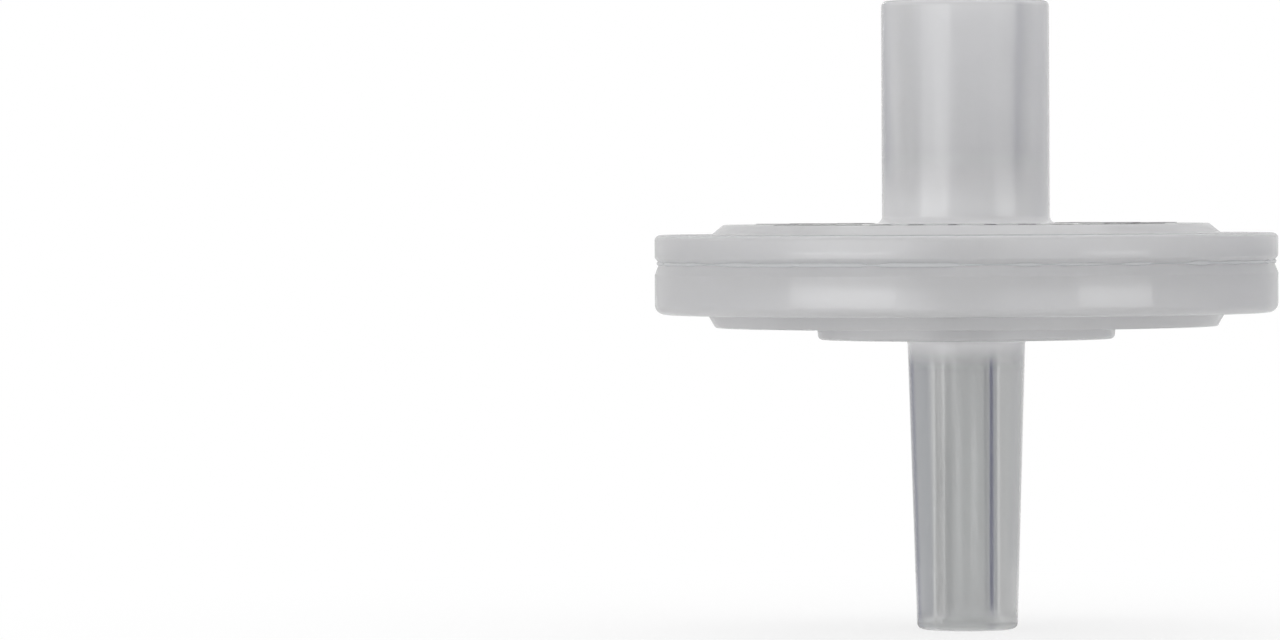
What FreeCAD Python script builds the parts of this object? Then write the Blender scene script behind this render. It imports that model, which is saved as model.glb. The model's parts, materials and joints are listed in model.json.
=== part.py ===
"""A 25 mm disposable syringe filter: two moulded polypropylene shells, welded at the rim round a membrane.

Millimetres. +Z is the flow axis, pointing back towards the syringe, and every piece is round about it.
z = 0 is the end of the outlet tip. The inlet shell carries the female Luer socket, the outlet shell the
male Luer tip, and the membrane is clamped between them. Each piece is written to parts/NODE.step.
"""
import FreeCAD, Part
import math
import os

# ---- Driving dimensions -------------------------------------------------------------------------

# Heights of the outside, stacked from the outlet tip up to the raised face of the disc
OUTLET_TUBE_L = 11.65
BOSS_H = 0.50
LOWER_STEP_H = 0.54
LOWER_RIM_H = 2.05
UPPER_RIM_H = 1.14
UPPER_STEP_H = 0.40

# Widths of the outside
RIM_D = 25.0
UPPER_LEDGE_W = 2.27  # rim edge to the foot of the raised face
UPPER_STEP_SLOPE_W = 0.50  # how far the raised face draws in over its height
LOWER_LEDGE_W = 2.12  # rim edge to the root of the step underneath
LOWER_STEP_SLOPE_W = 0.30
BOSS_D = 11.98
HUB_D = 6.74

# Luer cones, both with the standard taper on the diameter; the socket's depth sets the hub's height
LUER_TAPER = 0.06
SOCKET_MOUTH_D = 4.30
SOCKET_CONE_L = 7.5
SOCKET_LEAD_IN = 0.15
SOCKET_WELL_L = 1.0  # straight well below the cone, so that a syringe tip never bottoms out
SOCKET_FLOOR_T = 1.79  # well's floor down to the inlet chamber's roof
TIP_END_D = 4.03

# Flow path
INLET_BORE_D = 2.0
OUTLET_BORE_D = 1.8
BORE_MOUTH_FLARE = 0.45  # widening of each bore where it meets its chamber
TIP_BORE_FLARE = 0.12

# Seam between the shells: a shallow V groove runs round the rim
SEAM_GROOVE_DEPTH = 0.18  # how far the seam lies inside the rim's edge
SEAM_UPPER_BEVEL_H = 0.22
SEAM_LOWER_BEVEL_H = 0.45
WELD_LAND_W = 0.57  # seam edge to the weld tongue
TONGUE_W = 0.70
TONGUE_H = 0.45
TONGUE_CLEARANCE = 0.03  # to each side of the tongue in its groove
TONGUE_TIP_CLEARANCE = 0.05
TONGUE_CHAMFER = 0.12
INNER_LAND_W = 0.72  # weld groove to the membrane's pocket

# Membrane and the chambers above and below it
MEMBRANE_T = 0.15
MEMBRANE_CLEARANCE = 0.10  # radial, in its pocket
MEMBRANE_SEAT_DEPTH = 0.54  # seam plane down to the membrane's underside
CLAMP_W = 1.85  # ring of membrane held between the shells
CLAMP_RING_CLEARANCE = 0.10  # radial, clamp ring in the membrane's pocket
INLET_CHAMBER_H = 0.60
OUTLET_CHAMBER_H = 0.50

# Ribs that spread the flow, under the inlet shell's roof
SECTORS = 8  # every other channel between them is a main one
CHANNEL_W = 1.05
ARC_RIB_W = 0.80
ARC_RIB_GAP = 0.45
ARC_RIB_MARGIN = 0.57  # chamber wall to the outermost rib
ARC_RIB_TIP_GAP = 0.15  # ribs' undersides to the membrane
OPEN_CENTRE_R = 4.2  # no rib nearer the axis than this
RIB_ROOT = 0.20  # how far ribs and rings reach into the wall that carries them

# Rings that carry the membrane, on the outlet shell's floor
SUPPORT_W = 0.50
SUPPORT_GAP = 0.75
SUPPORT_MARGIN = 0.45  # chamber wall to the outermost ring
SUPPORT_CHANNEL_W = 0.80

# Edges: the larger ones are rounded, the slight ones bevelled
HUB_MOUTH_ROUND = 0.25
HUB_FOOT_ROUND = 0.32
LOWER_RIM_ROUND = 0.40
TIP_ROUND = 0.27
UPPER_RIM_BEVEL = 0.12
LOWER_STEP_BEVEL = 0.10
BOSS_BEVEL = 0.12

# ---- Sizes that follow --------------------------------------------------------------------------

BOSS_Z = OUTLET_TUBE_L
LOWER_STEP_Z = BOSS_Z + BOSS_H
LOWER_RIM_Z = LOWER_STEP_Z + LOWER_STEP_H
SEAM_Z = LOWER_RIM_Z + LOWER_RIM_H
UPPER_RIM_Z = SEAM_Z + UPPER_RIM_H
FACE_Z = UPPER_RIM_Z + UPPER_STEP_H

RIM_R = RIM_D / 2
SEAM_R = RIM_R - SEAM_GROOVE_DEPTH
TONGUE_OUTER_R = SEAM_R - WELD_LAND_W
TONGUE_INNER_R = TONGUE_OUTER_R - TONGUE_W
POCKET_R = TONGUE_INNER_R - TONGUE_CLEARANCE - INNER_LAND_W
MEMBRANE_R = POCKET_R - MEMBRANE_CLEARANCE
CHAMBER_R = MEMBRANE_R - CLAMP_W

MEMBRANE_Z = SEAM_Z - MEMBRANE_SEAT_DEPTH
MEMBRANE_TOP_Z = MEMBRANE_Z + MEMBRANE_T
ROOF_Z = MEMBRANE_TOP_Z + INLET_CHAMBER_H
FLOOR_Z = MEMBRANE_Z - OUTLET_CHAMBER_H
WELL_BOTTOM_Z = ROOF_Z + SOCKET_FLOOR_T
WELL_TOP_Z = WELL_BOTTOM_Z + SOCKET_WELL_L
MOUTH_Z = WELL_TOP_Z + SOCKET_CONE_L

AXIS = FreeCAD.Vector(0, 0, 1)
ORIGIN = FreeCAD.Vector(0, 0, 0)


def socket_r(depth):
    """The Luer socket's radius this far below its mouth."""
    return (SOCKET_MOUTH_D - LUER_TAPER * depth) / 2


def tube_r(height):
    """The outlet tube's radius this far above its tip."""
    return (TIP_END_D + LUER_TAPER * height) / 2


# ---- Operations ---------------------------------------------------------------------------------

def corner_arc(before, corner, after, radius):
    """The arc that rounds a corner, as its two tangent points and its middle."""
    to_before = (before - corner).normalize()
    to_after = (after - corner).normalize()
    half_angle = to_before.getAngle(to_after) / 2
    inward = (to_before + to_after).normalize()
    setback = radius / math.tan(half_angle)
    middle = corner + inward * (radius / math.sin(half_angle) - radius)
    return corner + to_before * setback, middle, corner + to_after * setback


def turned(outline):
    """A solid of revolution about +Z from corners (r, z) or (r, z, rounding), in order round the section."""
    points = [FreeCAD.Vector(corner[0], 0, corner[1]) for corner in outline]
    roundings = [corner[2] if len(corner) > 2 else 0 for corner in outline]
    edges = []
    pen = None
    starts = []
    for i, point in enumerate(points):
        before, after = points[i - 1], points[(i + 1) % len(points)]
        if roundings[i]:
            start, middle, end = corner_arc(before, point, after, roundings[i])
        else:
            start = end = point
        starts.append(start)
        if pen is not None:
            edges.append(Part.makeLine(pen, start))
        if roundings[i]:
            edges.append(Part.Arc(start, middle, end).toShape())
        pen = end
    edges.append(Part.makeLine(pen, starts[0]))
    return Part.Face(Part.Wire(edges)).revolve(ORIGIN, AXIS, 360)


def on_circle(radius, angle):
    """The point at this radius and angle (radians) in the XY plane."""
    return FreeCAD.Vector(radius * math.cos(angle), radius * math.sin(angle), 0)


def arc_between(radius, start, end):
    """An arc edge about the axis, from one angle to the other."""
    middle = on_circle(radius, (start + end) / 2)
    return Part.Arc(on_circle(radius, start), middle, on_circle(radius, end)).toShape()


def arc_rib(inner_r, outer_r, bottom_z, height):
    """One rib of the sector that follows +X: square at the main channel on +X, round at the diagonal one."""
    half = CHANNEL_W / 2
    middle_r = (inner_r + outer_r) / 2
    end_r = (outer_r - inner_r) / 2
    start_inner = math.asin(half / inner_r)
    start_outer = math.asin(half / outer_r)
    # the round end's centre stands off the diagonal by half a channel and its own radius
    end = 2 * math.pi / SECTORS - math.asin((half + end_r) / middle_r)
    tangent = on_circle(1, end + math.pi / 2)
    nose = on_circle(middle_r, end) + tangent * end_r
    outline = [
        arc_between(inner_r, start_inner, end),
        Part.Arc(on_circle(inner_r, end), nose, on_circle(outer_r, end)).toShape(),
        arc_between(outer_r, end, start_outer),
        Part.makeLine(on_circle(outer_r, start_outer), on_circle(inner_r, start_inner)),
    ]
    rib = Part.Face(Part.Wire(outline)).extrude(AXIS * height)
    return rib.translated(AXIS * bottom_z)


def flow_ribs():
    """The rows of arc ribs in every sector; the two sectors of a pair mirror each other in its diagonal."""
    bottom = MEMBRANE_TOP_Z + ARC_RIB_TIP_GAP
    height = ROOF_Z + RIB_ROOT - bottom
    diagonal = on_circle(1, 2 * math.pi / SECTORS + math.pi / 2)
    sector_pair = 2 * 360 / SECTORS
    ribs = []
    outer_r = CHAMBER_R - ARC_RIB_MARGIN
    while outer_r - ARC_RIB_W >= OPEN_CENTRE_R:
        rib = arc_rib(outer_r - ARC_RIB_W, outer_r, bottom, height)
        for turn in range(SECTORS // 2):
            for half in (rib, rib.mirror(ORIGIN, diagonal)):
                ribs.append(half.rotated(ORIGIN, AXIS, turn * sector_pair))
        outer_r -= ARC_RIB_W + ARC_RIB_GAP
    return ribs


def ring(inner_r, outer_r, bottom_z, height):
    """A plain ring about the axis."""
    outer = Part.makeCylinder(outer_r, height, AXIS * bottom_z)
    return outer.cut(Part.makeCylinder(inner_r, height, AXIS * bottom_z))


def support_rings():
    """The rings under the membrane, all cut through by the radial channels that lead to the outlet."""
    inner_limit = OUTLET_BORE_D / 2 + BORE_MOUTH_FLARE + SUPPORT_GAP
    bottom = FLOOR_Z - RIB_ROOT
    height = MEMBRANE_Z - bottom
    rings = []
    outer_r = CHAMBER_R - SUPPORT_MARGIN
    while outer_r - SUPPORT_W >= inner_limit:
        rings.append(ring(outer_r - SUPPORT_W, outer_r, bottom, height))
        outer_r -= SUPPORT_W + SUPPORT_GAP
    slot = Part.makeBox(2 * CHAMBER_R, SUPPORT_CHANNEL_W, height)
    slot.translate(FreeCAD.Vector(-CHAMBER_R, -SUPPORT_CHANNEL_W / 2, bottom))
    slots = [slot.rotated(ORIGIN, AXIS, i * 360 / SECTORS) for i in range(SECTORS // 2)]
    return [piece for r in rings for piece in r.cut(slots).Solids]


# ---- Pieces -------------------------------------------------------------------------------------

def inlet_housing():
    """Upper shell: disc, hub with the Luer socket, weld tongue, clamp ring and flow ribs."""
    foot_r = RIM_R - UPPER_LEDGE_W
    clamp_r = POCKET_R - CLAMP_RING_CLEARANCE
    bore_r = INLET_BORE_D / 2
    body = turned([
        (socket_r(0) + SOCKET_LEAD_IN, MOUTH_Z),
        (HUB_D / 2, MOUTH_Z, HUB_MOUTH_ROUND),
        (HUB_D / 2, FACE_Z, HUB_FOOT_ROUND),
        (foot_r - UPPER_STEP_SLOPE_W, FACE_Z),
        (foot_r, UPPER_RIM_Z),
        (RIM_R - UPPER_RIM_BEVEL, UPPER_RIM_Z),
        (RIM_R, UPPER_RIM_Z - UPPER_RIM_BEVEL),
        (RIM_R, SEAM_Z + SEAM_UPPER_BEVEL_H),
        (SEAM_R, SEAM_Z),
        (TONGUE_OUTER_R, SEAM_Z),
        (TONGUE_OUTER_R, SEAM_Z - TONGUE_H + TONGUE_CHAMFER),
        (TONGUE_OUTER_R - TONGUE_CHAMFER, SEAM_Z - TONGUE_H),
        (TONGUE_INNER_R + TONGUE_CHAMFER, SEAM_Z - TONGUE_H),
        (TONGUE_INNER_R, SEAM_Z - TONGUE_H + TONGUE_CHAMFER),
        (TONGUE_INNER_R, SEAM_Z),
        (clamp_r, SEAM_Z),
        (clamp_r, MEMBRANE_TOP_Z),
        (CHAMBER_R, MEMBRANE_TOP_Z),
        (CHAMBER_R, ROOF_Z),
        (bore_r + BORE_MOUTH_FLARE, ROOF_Z),
        (bore_r, ROOF_Z + BORE_MOUTH_FLARE),
        (bore_r, WELL_BOTTOM_Z),
        (socket_r(SOCKET_CONE_L), WELL_BOTTOM_Z),
        (socket_r(SOCKET_CONE_L), WELL_TOP_Z),
        (socket_r(SOCKET_LEAD_IN), MOUTH_Z - SOCKET_LEAD_IN),
    ])
    return body.fuse(flow_ribs()).removeSplitter()


def outlet_housing():
    """Lower shell: disc, boss, male Luer tube, weld groove, membrane seat and support rings."""
    root_r = RIM_R - LOWER_LEDGE_W
    bore_r = OUTLET_BORE_D / 2
    groove_outer_r = TONGUE_OUTER_R + TONGUE_CLEARANCE
    groove_inner_r = TONGUE_INNER_R - TONGUE_CLEARANCE
    groove_z = SEAM_Z - TONGUE_H - TONGUE_TIP_CLEARANCE
    body = turned([
        (bore_r + TIP_BORE_FLARE, 0),
        (tube_r(0), 0, TIP_ROUND),
        (tube_r(BOSS_Z), BOSS_Z),
        (BOSS_D / 2 - BOSS_BEVEL, BOSS_Z),
        (BOSS_D / 2, BOSS_Z + BOSS_BEVEL),
        (BOSS_D / 2, LOWER_STEP_Z),
        (root_r - LOWER_STEP_SLOPE_W - LOWER_STEP_BEVEL, LOWER_STEP_Z),
        (root_r - LOWER_STEP_SLOPE_W, LOWER_STEP_Z + LOWER_STEP_BEVEL),
        (root_r, LOWER_RIM_Z),
        (RIM_R, LOWER_RIM_Z, LOWER_RIM_ROUND),
        (RIM_R, SEAM_Z - SEAM_LOWER_BEVEL_H),
        (SEAM_R, SEAM_Z),
        (groove_outer_r, SEAM_Z),
        (groove_outer_r, groove_z),
        (groove_inner_r, groove_z),
        (groove_inner_r, SEAM_Z),
        (POCKET_R, SEAM_Z),
        (POCKET_R, MEMBRANE_Z),
        (CHAMBER_R, MEMBRANE_Z),
        (CHAMBER_R, FLOOR_Z),
        (bore_r + BORE_MOUTH_FLARE, FLOOR_Z),
        (bore_r, FLOOR_Z - BORE_MOUTH_FLARE),
        (bore_r, TIP_BORE_FLARE),
    ])
    return body.fuse(support_rings()).removeSplitter()


def filter_membrane():
    """The porous disc, lying on the outlet shell's seat and support rings."""
    return Part.makeCylinder(MEMBRANE_R, MEMBRANE_T, AXIS * MEMBRANE_Z)


def main():
    pieces = {
        "inlet_housing": inlet_housing(),
        "outlet_housing": outlet_housing(),
        "filter_membrane": filter_membrane(),
    }
    os.makedirs("parts", exist_ok=True)
    for name, shape in pieces.items():
        print(name, "valid" if shape.isValid() else "INVALID", len(shape.Solids), "solid,",
              round(shape.Volume, 2), "mm3")
        shape.exportStep(f"parts/{name}.step")


main()
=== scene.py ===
"""Looks of a 25 mm disposable syringe filter: milky polypropylene shells, their membrane and the print.

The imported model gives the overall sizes. Lengths are millimetres until a mesh is made, and then metres.
+Z is the flow axis, z = 0 is the end of the outlet tip, and -Y faces the camera.
"""

import json
import logging
import math
from dataclasses import dataclass, field
from enum import Enum
from functools import partial

import bmesh
import bpy
from bmesh.types import BMesh
from bpy.types import ID, Material, Mesh, Node, NodeOutputs, NodeSocket, NodeTree, Object
from mathutils import Matrix, Vector


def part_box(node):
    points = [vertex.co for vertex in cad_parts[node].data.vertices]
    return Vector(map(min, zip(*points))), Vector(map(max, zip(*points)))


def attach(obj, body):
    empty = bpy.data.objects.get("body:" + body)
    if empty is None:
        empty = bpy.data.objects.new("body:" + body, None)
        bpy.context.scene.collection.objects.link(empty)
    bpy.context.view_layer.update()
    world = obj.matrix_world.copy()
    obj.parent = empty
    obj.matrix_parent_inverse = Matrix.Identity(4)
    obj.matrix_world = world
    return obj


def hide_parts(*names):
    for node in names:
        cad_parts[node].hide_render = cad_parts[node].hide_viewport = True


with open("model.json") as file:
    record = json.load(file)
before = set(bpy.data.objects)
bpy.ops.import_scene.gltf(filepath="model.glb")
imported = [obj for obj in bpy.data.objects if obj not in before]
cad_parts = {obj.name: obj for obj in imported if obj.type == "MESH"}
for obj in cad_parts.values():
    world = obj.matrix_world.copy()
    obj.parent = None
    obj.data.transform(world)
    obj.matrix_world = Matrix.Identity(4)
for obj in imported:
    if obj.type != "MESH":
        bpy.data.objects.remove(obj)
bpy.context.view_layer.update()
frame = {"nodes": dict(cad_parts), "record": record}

BODY = "root"
MM = 0.001
TURNED_SEGMENTS = 192  # round the axis, enough for a smooth outline at full size
ARC_STEPS = 6  # per rounded corner
RIB_STEPS = 14  # along each side of an arc rib
EDGE_SEGMENTS = 3  # across the rounding of a rib's edge
SHARP_EDGE = math.radians(32)  # edges that turn more than this stay crisp
CONTACT_GAP = 0.008  # mm between touching plastic faces, so that light meets one face at a time
LUER_TAPER = 0.06  # on the diameter
WHITE = (1.0, 1.0, 1.0, 1.0)

Source = Node | NodeSocket | float  # what can feed a node's input
Span = tuple[float, float]  # from where and to where

log = logging.getLogger("syringe_filter")


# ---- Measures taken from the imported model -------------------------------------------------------

def box_mm(node: str) -> tuple[Vector, Vector]:
    """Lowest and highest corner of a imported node, in millimetres."""
    low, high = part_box(node)
    return low / MM, high / MM


def mount_radius(name: str) -> float:
    """The radius, in millimetres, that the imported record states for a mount."""
    mounts = frame["record"]["mounts"]
    return next(mount["dims"]["r_mm"] for mount in mounts if mount["name"] == name)


# ---- Node helpers -------------------------------------------------------------------------------

def linear(hex_colour: str) -> tuple[float, float, float, float]:
    """Turns an sRGB hex colour into Blender's linear RGBA.

    Args:
        hex_colour: six hex digits, with or without a leading #.

    Returns:
        Linear red, green and blue, and an alpha of 1.
    """
    digits = hex_colour.lstrip("#")
    channels = [int(digits[i:i + 2], 16) / 255 for i in (0, 2, 4)]
    curve = [c / 12.92 if c <= 0.04045 else ((c + 0.055) / 1.055) ** 2.4 for c in channels]
    return (*curve, 1.0)


def add_node(tree: NodeTree, kind: str, links: dict | None = None, **settings: object) -> Node:
    """Adds one node with its settings and links.

    Args:
        tree: the node tree to add to.
        kind: the node's Blender type.
        links: input name or number to an output socket, a node or a plain value. A node stands for its first
            output in use.
        **settings: attributes of the node itself.

    Returns:
        The new node.
    """
    node = tree.nodes.new(kind)
    for name, value in settings.items():
        setattr(node, name, value)
    for key, value in (links or {}).items():
        if isinstance(value, Node):
            value = next(output for output in value.outputs if output.enabled)
        if isinstance(value, NodeSocket):
            tree.links.new(value, node.inputs[key])
        else:
            node.inputs[key].default_value = value
    return node


def new_material(name: str) -> tuple[Material, NodeTree]:
    """Makes an empty node material.

    Args:
        name: the material's name.

    Returns:
        The material and its tree.
    """
    material = bpy.data.materials.new(name)
    material.use_nodes = True
    material.node_tree.nodes.clear()
    return material, material.node_tree


class Measure(Enum):
    """What a smooth change in a finish follows."""

    HEIGHT = "up the axis"
    RADIUS = "out from the axis"
    SEAM = "up or down from the seam"
    LEVEL = "0 on an upright wall, 1 on a flat face"


@dataclass(frozen=True)
class Change:
    """A smooth change in a finish, from one level to another, as a measure of the place crosses a span."""

    measure: Measure
    span: Span  # mm, or a share of 1 for LEVEL
    low: "Change | Source"
    high: "Change | Source"

    def wire(self, tree: NodeTree, measures: dict[Measure, Source]) -> Node:
        """Adds the nodes of the change and of the changes that it runs between.

        Args:
            tree: the material's tree.
            measures: what gives each measure at the shaded point, with lengths in metres.

        Returns:
            The node that gives the level.
        """
        unit = 1.0 if self.measure is Measure.LEVEL else MM
        ends = (self.low, self.high)
        low, high = (end.wire(tree, measures) if isinstance(end, Change) else end for end in ends)
        return add_node(tree, "ShaderNodeMapRange", {
            "Value": measures[self.measure],
            "From Min": self.span[0] * unit, "From Max": self.span[1] * unit, "To Min": low, "To Max": high,
        }, interpolation_type="SMOOTHSTEP")


# ---- Finishes -----------------------------------------------------------------------------------

@dataclass(frozen=True)
class MilkyPolypropylene:
    """Natural polypropylene, injection moulded: cloudy along a wall, clearer through a thin one."""

    name: str = "natural_polypropylene"
    colour: str = "#F6F6F7"
    cloud_colour: str = "#F0F0F2"
    outlet_colour: str = "#E0E1E1"  # the long core pin of the outlet leaves its thin wall clearer and greyer
    ledge_shade_colour: str = "#C6C8CB"  # painted shade: the flat ring over the weld is painted darker than the field inside it
    ior: float = 1.49
    roughness: Span = (0.09, 0.16)  # polished mould steel, a little duller in patches
    hub_roughness: float = 0.06  # added on the hub, whose thick wall blurs what lies behind it
    wall_roughness: float = 0.30  # added on the disc's upright walls, seen across its whole cloudy width
    plate_roughness: float = 0.02  # added on its flat faces, which show the ribs close behind them
    outlet_roughness: float = -0.075  # its mould is polished finer than the disc's
    skin_gloss: float = 0.5  # the skin mirrors the lamps more sharply than the cloudy bulk passes light
    skin_roughness: float = 0.08
    plate_clear: float = 0.90  # share of the light that goes straight through a flat face of the disc
    wall_clear: float = 0.55  # the same for the disc's upright walls, which have its whole width behind them
    hub_clear: float = 0.58
    hub_foot_clear: float = 0.18  # below the socket the hub is solid
    hub_foot_z: Span = (16.6, 19.4)  # mm, from the solid foot to the socket's wall
    outlet_clear: float = 0.82
    tip_clear: float = 0.50
    tip_z: Span = (0.0, 0.7)  # mm, the outlet's end is cloudy again
    upright: Span = (0.85, 0.97)  # how far a normal points along the axis, from wall to plate
    rib_z: Span = (14.88, 14.94)  # mm, ribs and clamp ring below this height are cloudy like walls
    plate_r: Span = (9.8, 10.2)  # mm from the axis, past which the faces have solid rim behind them
    ledge_r: Span = (10.15, 10.4)  # mm, where the painted shade on the ring over the weld starts
    ledge_z: Span = (15.2, 15.5)  # mm, above the seam: the painted shade is on the upper face's ring only
    hub_r: Span = (3.5, 4.5)  # mm from the axis, where the hub gives way to the disc
    outlet_z: Span = (10.4, 11.6)  # mm up the outlet, where its tube goes into the disc
    cloud_size: float = 4.0  # mm, flow clouding of the melt
    cloud_detail: float = 3.0
    cloud_roughness: float = 0.45
    cloud_span: Span = (0.3, 0.7)  # of the clouding, from the glossiest patch to the dullest
    drag_size: float = 0.55  # mm between the faint drag lines along the tubes
    drag_detail: float = 2.0
    drag_stretch: float = 0.04  # they run this much slower along the axis than across it
    drag_depth: float = 0.006  # mm
    ring_pitch: float = 0.9  # mm between the lathe rings of the mould's faces, drawn coarser than they are
    ring_depth: float = 0.0015  # mm
    scatter_depth: float = 0.9  # mm that light spreads inside the plastic
    seam_z: float = 14.74  # mm, the melted seam is cloudy right at its skin
    seam_reach: Span = (0.1, 0.5)  # mm above and below it, where light starts to spread again

    def build(self) -> Material:
        """Makes the material, which reads its place from Object coordinates in metres.

        Returns:
            The material.
        """
        material, tree = new_material(self.name)
        add = partial(add_node, tree)
        place = add("ShaderNodeTexCoord").outputs["Object"]
        surface = add("ShaderNodeNewGeometry").outputs
        measures = self.measures(tree, place, surface["Normal"])
        cloud = add("ShaderNodeTexNoise", {
            "Vector": place, "Scale": 1 / (self.cloud_size * MM), "Detail": self.cloud_detail,
            "Roughness": self.cloud_roughness,
        })
        patchy = add("ShaderNodeMapRange", {
            "Value": cloud, "From Min": self.cloud_span[0], "From Max": self.cloud_span[1],
            "To Min": self.roughness[0], "To Max": self.roughness[1],
        })
        added = self.added_roughness().wire(tree, measures)
        outside = add("ShaderNodeMath", {0: 1.0, 1: surface["Backfacing"]}, operation="SUBTRACT")
        shader = add("ShaderNodeBsdfPrincipled", {
            "Base Color": self.tint(tree, measures, cloud),
            "Roughness": add("ShaderNodeMath", {0: patchy, 1: added}, operation="ADD"),
            "Normal": self.mould_marks(tree, measures, place),
            "IOR": self.ior,
            "Transmission Weight": self.clearness().wire(tree, measures),
            "Subsurface Weight": Change(Measure.SEAM, self.seam_reach, 0.0, outside).wire(tree, measures),
            "Subsurface Radius": (1.0, 1.0, 1.0),
            "Subsurface Scale": self.scatter_depth * MM,
            "Coat Weight": self.skin_gloss,
            "Coat Roughness": self.skin_roughness,
            "Coat IOR": self.ior,
        })
        add("ShaderNodeOutputMaterial", {"Surface": shader})
        return material

    def measures(self, tree: NodeTree, place: Source, normal: Source) -> dict[Measure, Source]:
        """Adds the nodes that measure the shaded point.

        Args:
            tree: the material's tree.
            place: the point's place.
            normal: the surface's direction there.

        Returns:
            What gives each measure, with lengths in metres.
        """
        add = partial(add_node, tree)
        height = add("ShaderNodeSeparateXYZ", {0: place}).outputs["Z"]
        flat = add("ShaderNodeVectorMath", {0: place, 1: (1.0, 1.0, 0.0)}, operation="MULTIPLY")
        along = add("ShaderNodeSeparateXYZ", {0: normal}).outputs["Z"]
        rise = add("ShaderNodeMath", {0: height, 1: self.seam_z * MM}, operation="SUBTRACT")
        return {
            Measure.HEIGHT: height,
            Measure.RADIUS: add("ShaderNodeVectorMath", {0: flat}, operation="LENGTH"),
            Measure.SEAM: add("ShaderNodeMath", {0: rise}, operation="ABSOLUTE"),
            Measure.LEVEL: add("ShaderNodeMath", {0: along}, operation="ABSOLUTE"),
        }

    def clearness(self) -> Change:
        """The share of light that goes straight through.

        Returns:
            The change from the outlet tube, which ends cloudy, to the disc and the hub.
        """
        tube = Change(Measure.HEIGHT, self.tip_z, self.tip_clear, self.outlet_clear)
        plate = Change(Measure.HEIGHT, self.rib_z, self.wall_clear, self.plate_clear)
        faces = Change(Measure.RADIUS, self.plate_r, plate, self.wall_clear)
        disc = Change(Measure.LEVEL, self.upright, self.wall_clear, faces)
        hub = Change(Measure.HEIGHT, self.hub_foot_z, self.hub_foot_clear, self.hub_clear)
        return Change(Measure.HEIGHT, self.outlet_z, tube, Change(Measure.RADIUS, self.hub_r, hub, disc))

    def added_roughness(self) -> Change:
        """The roughness that each part of the moulding adds to its skin's.

        Returns:
            The change from the outlet tube to the disc and the hub.
        """
        faces = Change(Measure.RADIUS, self.plate_r, self.plate_roughness, self.wall_roughness)
        disc = Change(Measure.LEVEL, self.upright, self.wall_roughness, faces)
        shell = Change(Measure.RADIUS, self.hub_r, self.hub_roughness, disc)
        return Change(Measure.HEIGHT, self.outlet_z, self.outlet_roughness, shell)

    def tint(self, tree: NodeTree, measures: dict[Measure, Source], cloud: Source) -> Node:
        """Adds the colour: clouded plastic, painted shade on the ring over the weld, and greyer in the
        outlet.

        Args:
            tree: the material's tree.
            measures: what gives each measure.
            cloud: the clouding of the melt, from 0 to 1.

        Returns:
            The node that gives the colour.
        """
        # painted shade: the flat ring over the weld, on the upper face only, is mixed towards a darker
        # colour
        shaded_flat_ring = Change(Measure.LEVEL, self.upright, 0.0, Change(Measure.RADIUS, self.ledge_r, 0.0, 1.0))
        painted_ledge_shade = Change(Measure.HEIGHT, self.ledge_z, 0.0, shaded_flat_ring).wire(tree, measures)
        above_outlet = Change(Measure.HEIGHT, self.outlet_z, 0.0, 1.0).wire(tree, measures)
        add = partial(add_node, tree)
        milky = add("ShaderNodeMix", {
            "Factor": cloud, "A": linear(self.colour), "B": linear(self.cloud_colour),
        }, data_type="RGBA")
        disc = add("ShaderNodeMix", {
            "Factor": painted_ledge_shade, "A": milky, "B": linear(self.ledge_shade_colour),
        }, data_type="RGBA")
        return add("ShaderNodeMix", {
            "Factor": above_outlet, "A": linear(self.outlet_colour), "B": disc,
        }, data_type="RGBA")

    def mould_marks(self, tree: NodeTree, measures: dict[Measure, Source], place: Source) -> Node:
        """Adds what the mould leaves in the skin: drag lines along the tubes and lathe rings on the faces.

        Args:
            tree: the material's tree.
            measures: what gives each measure.
            place: the shaded point's place.

        Returns:
            The node that gives the bumped normal.
        """
        add = partial(add_node, tree)
        drawn = add("ShaderNodeVectorMath", {
            0: place, 1: (1.0, 1.0, self.drag_stretch),
        }, operation="MULTIPLY")
        drag = add("ShaderNodeTexNoise", {
            "Vector": drawn, "Scale": 1 / (self.drag_size * MM), "Detail": self.drag_detail,
        })
        turns = add("ShaderNodeMath", {
            0: measures[Measure.RADIUS], 1: 2 * math.pi / (self.ring_pitch * MM),
        }, operation="MULTIPLY")
        rings = add("ShaderNodeMath", {0: turns}, operation="SINE")
        lines, circles = (
            add("ShaderNodeMath", {0: pattern, 1: depth * MM}, operation="MULTIPLY")
            for pattern, depth in ((drag, self.drag_depth), (rings, self.ring_depth / 2))
        )
        marks = Change(Measure.RADIUS, self.hub_r, lines, circles).wire(tree, measures)
        return add("ShaderNodeBump", {"Height": marks, "Distance": 1.0, "Strength": 1.0})


@dataclass(frozen=True)
class WhitenedPolypropylene(MilkyPolypropylene):
    """The same plastic, melted and pressed out by the weld: greyer, and cloudy right through."""

    name: str = "whitened_polypropylene"
    colour: str = "#D6D7D9"
    cloud_colour: str = "#CBCCCF"
    plate_clear: float = 0.1
    wall_clear: float = 0.1


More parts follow.
